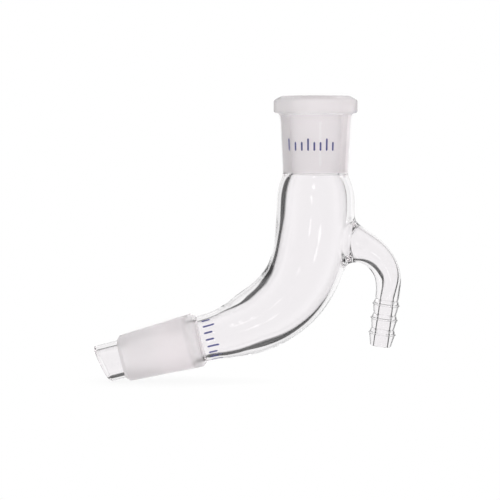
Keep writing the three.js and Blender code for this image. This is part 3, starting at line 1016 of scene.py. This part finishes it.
def studio_world():
    """Darkness round the panel, then soft light from the sides, the room and two lamps.

    It is laid out in the camera's own directions, so it looks the same from every side.
    Light that a matt surface has scattered comes from a tent instead.
    """
    world = bpy.data.worlds.new("studio")
    bpy.context.scene.world = world
    world.use_nodes = True
    tree = world.node_tree
    tree.nodes.clear()
    place = add(tree, "ShaderNodeTexCoord")
    axes = add(tree, "ShaderNodeSeparateXYZ", {"Vector": place.outputs["Camera"]})
    right, up, ahead = axes.outputs
    behind = math_node(tree, "MULTIPLY", ahead, -1.0)
    risen = math_node(tree, "MULTIPLY", up, up)
    level = math_node(tree, "SQRT", math_node(tree, "SUBTRACT", 1.0, risen))
    pitch = math_node(tree, "ARCTAN2", up, level)
    back_yaw = math_node(tree, "ARCTAN2", right, behind)
    off_axis = math_node(tree, "ARCCOSINE", ahead)
    strength = math_node(tree, "ADD", eased(tree, off_axis, *SIDE_ANGLES, DARK, SIDE_LIGHT),
                         eased(tree, off_axis, *ROOM_ANGLES, 0.0, ROOM - SIDE_LIGHT))
    for lamp_yaw, lamp_pitch, half_yaw, half_pitch, glow in LAMPS:
        patch = oval(tree, back_yaw, pitch, (lamp_yaw, lamp_pitch), (half_yaw, half_pitch))
        strength = math_node(tree, "MULTIPLY_ADD", patch, glow, strength)
    focus = math_node(tree, "POWER", math_node(tree, "ABSOLUTE", ahead), TENT_FOCUS)
    lean = math_node(tree, "MULTIPLY_ADD", right, TENT_LEAN, TENT)
    tent = math_node(tree, "MULTIPLY_ADD", focus, TENT_FRONT, lean)
    direct = unscattered(tree)
    either = add(tree, "ShaderNodeMix", {0: direct, 2: tent, 3: strength}, data_type="FLOAT")
    side = math_node(tree, "MULTIPLY_ADD", right, 0.5, 0.5)
    tint = mixed_colour(tree, side, WHITE, TENT_TINT)
    colour = mixed_colour(tree, direct, tint, WHITE)
    lit = add(tree, "ShaderNodeBackground", {"Color": colour, "Strength": either.outputs[0]})
    seen = add(tree, "ShaderNodeBackground", {"Color": (*WHITE, 1), "Strength": 1.0})
    path = add(tree, "ShaderNodeLightPath")
    mix = mixed_shader(tree, path.outputs["Is Camera Ray"], lit, seen)
    output = add(tree, "ShaderNodeOutputWorld")
    tree.links.new(mix.outputs[0], output.inputs["Surface"])


def backdrop(eye):
    """White panel that lights the glass from behind, fixed to the camera and unseen by it."""
    bm = bmesh.new()
    bmesh.ops.create_grid(bm, x_segments=2, y_segments=2, size=PANEL_REACH)
    mesh = bpy.data.meshes.new("backdrop")
    bm.to_mesh(mesh)
    bm.free()
    panel = bpy.data.objects.new("backdrop", mesh)
    bpy.context.scene.collection.objects.link(panel)
    panel.parent = eye
    panel.location.z = -(CAMERA_DISTANCE + PANEL_DEPTH) * MM
    material, tree, output = node_material("white_panel")
    place = add(tree, "ShaderNodeTexCoord")
    spot = add(tree, "ShaderNodeSeparateXYZ", {"Vector": place.outputs["Object"]})
    geometry = add(tree, "ShaderNodeNewGeometry")
    turned_back = add(tree, "ShaderNodeVectorTransform", {"Vector": geometry.outputs["Incoming"]},
                      vector_type="VECTOR", convert_from="WORLD", convert_to="OBJECT")
    way = add(tree, "ShaderNodeSeparateXYZ", {"Vector": turned_back.outputs[0]})
    signs = (-1.0, -1.0, 1.0)
    right, up, ahead = (math_node(tree, "MULTIPLY", way.outputs[i], signs[i]) for i in range(3))
    sideways = math_node(tree, "MULTIPLY", right, PANEL_DEPTH * MM)
    travelled = math_node(tree, "DIVIDE", sideways, ahead)
    start = math_node(tree, "SUBTRACT", spot.outputs[0], travelled)
    near = eased(tree, start, PANEL_NEAR[0] * MM, PANEL_NEAR[1] * MM, 1.0, PANEL_NEAR_REACH)
    pitch = math_node(tree, "ARCSINE", up)
    yaw = math_node(tree, "ARCTAN2", right, ahead)
    flared = math_node(tree, "MULTIPLY_ADD", math_node(tree, "ABSOLUTE", pitch), PANEL_FLARE, yaw)
    left = math_node(tree, "DIVIDE", math_node(tree, "MINIMUM", flared, 0.0), near)
    trim = eased(tree, start, PANEL_TRIM[0] * MM, PANEL_TRIM[1] * MM, 1.0, PANEL_TRIM_REACH)
    flared = math_node(tree, "MULTIPLY_ADD", math_node(tree, "MAXIMUM", flared, 0.0), trim, left)
    total = None
    for angle, middle, half in zip((flared, pitch), PANEL_CENTRE, PANEL_HALF):
        offset = math_node(tree, "DIVIDE", math_node(tree, "SUBTRACT", angle, middle), half)
        power = math_node(tree, "POWER", math_node(tree, "ABSOLUTE", offset), PANEL_CORNER)
        total = power if total is None else math_node(tree, "ADD", total, power)
    outside = math_node(tree, "POWER", total, 1 / PANEL_CORNER)
    shape = eased(tree, outside, 1 + PANEL_SOFT, 1 - PANEL_SOFT)
    white = add(tree, "ShaderNodeEmission", {"Color": (*WHITE, 1), "Strength": 1.0})
    clear = add(tree, "ShaderNodeBsdfTransparent")
    mix = mixed_shader(tree, math_node(tree, "MULTIPLY", shape, unscattered(tree)), clear, white)
    tree.links.new(mix.outputs[0], output.inputs["Surface"])
    mesh.materials.append(material)
    panel.visible_camera = False
    panel.visible_diffuse = False
    panel.visible_shadow = False


def floor():
    """Pale floor with a faint contact shade. Only the camera sees it, so the glass stays clean."""
    bm = bmesh.new()
    bmesh.ops.create_grid(bm, x_segments=8, y_segments=8, size=FLOOR_REACH)
    mesh = bpy.data.meshes.new("floor")
    bm.to_mesh(mesh)
    bm.free()
    plane = bpy.data.objects.new("floor", mesh)
    bpy.context.scene.collection.objects.link(plane)
    plane.location.z = CAD_BOX[0].z
    material, tree, output = node_material("pale_floor")
    shade = add(tree, "ShaderNodeAmbientOcclusion", {"Distance": SHADE_REACH}, samples=8)
    tones = {"Value": shade.outputs["AO"], "To Min": SHADE_TONE, "To Max": 1.0}
    tone = add(tree, "ShaderNodeMapRange", tones).outputs["Result"]
    glow = add(tree, "ShaderNodeEmission", {"Color": (*WHITE, 1), "Strength": tone})
    tree.links.new(glow.outputs[0], output.inputs["Surface"])
    mesh.materials.append(material)
    plane.visible_transmission = False
    plane.visible_glossy = False
    plane.visible_diffuse = False
    plane.visible_shadow = False


# Width of the view at the target and distance from it, millimetres.
FRAME_WIDTH = 172.4
CAMERA_DISTANCE = 650.0
CAMERA_ELEVATION = math.radians(3.8)
CAMERA_TARGET = np.array([-22.5, 0.0, -53.0])
SENSOR_WIDTH = 36.0
CLIP = (0.01, 100.0)
BOUNCES, GLOSSY_BOUNCES = 32, 16


def camera():
    data = bpy.data.cameras.new("camera")
    data.sensor_width = SENSOR_WIDTH
    data.lens = SENSOR_WIDTH * CAMERA_DISTANCE / FRAME_WIDTH
    data.clip_start, data.clip_end = CLIP
    eye = bpy.data.objects.new("camera", data)
    bpy.context.scene.collection.objects.link(eye)
    back = Vector((0, -math.cos(CAMERA_ELEVATION), math.sin(CAMERA_ELEVATION)))
    eye.location = Vector(metres(CAMERA_TARGET)) + back * CAMERA_DISTANCE * MM
    eye.rotation_mode = "QUATERNION"
    eye.rotation_quaternion = (-back).to_track_quat("-Z", "Y")
    bpy.context.scene.camera = eye
    return eye


def look():
    """Plain colour transform and enough bounces for light to cross every glass wall."""
    scene = bpy.context.scene
    scene.view_settings.view_transform = "Standard"
    scene.cycles.max_bounces = BOUNCES
    scene.cycles.transmission_bounces = BOUNCES
    scene.cycles.glossy_bounces = GLOSSY_BOUNCES
    scene.cycles.transparent_max_bounces = BOUNCES
    scene.cycles.use_denoising = True


# ---------------------------------------------------------------- build

CLEAR = clear_glass()
WELD = weld_face()
# Two copies of one ground glass: the bore's is painted lighter, the cone's painted darker (painted
# light and shade).
GROUND_BORE = ground_glass("ground_bore", *PAINTED_LIT_BORE_LOOK)
GROUND_CONE = ground_glass("ground_cone", *PAINTED_SHADED_CONE_LOOK)
GLASS = [CLEAR, GROUND_BORE, WELD]
body_tube(GLASS)
side_arm(GLASS)
socket_outline = socket_joint(GLASS)
cone_outline = cone_joint([CLEAR, GROUND_CONE, WELD])
drip_tip(GLASS)
hose_barb(GLASS)
ENAMEL = blue_enamel()
socket_ticks(socket_outline, ENAMEL)
cone_ticks(cone_outline, ENAMEL)
studio_world()
floor()
backdrop(camera())
look()
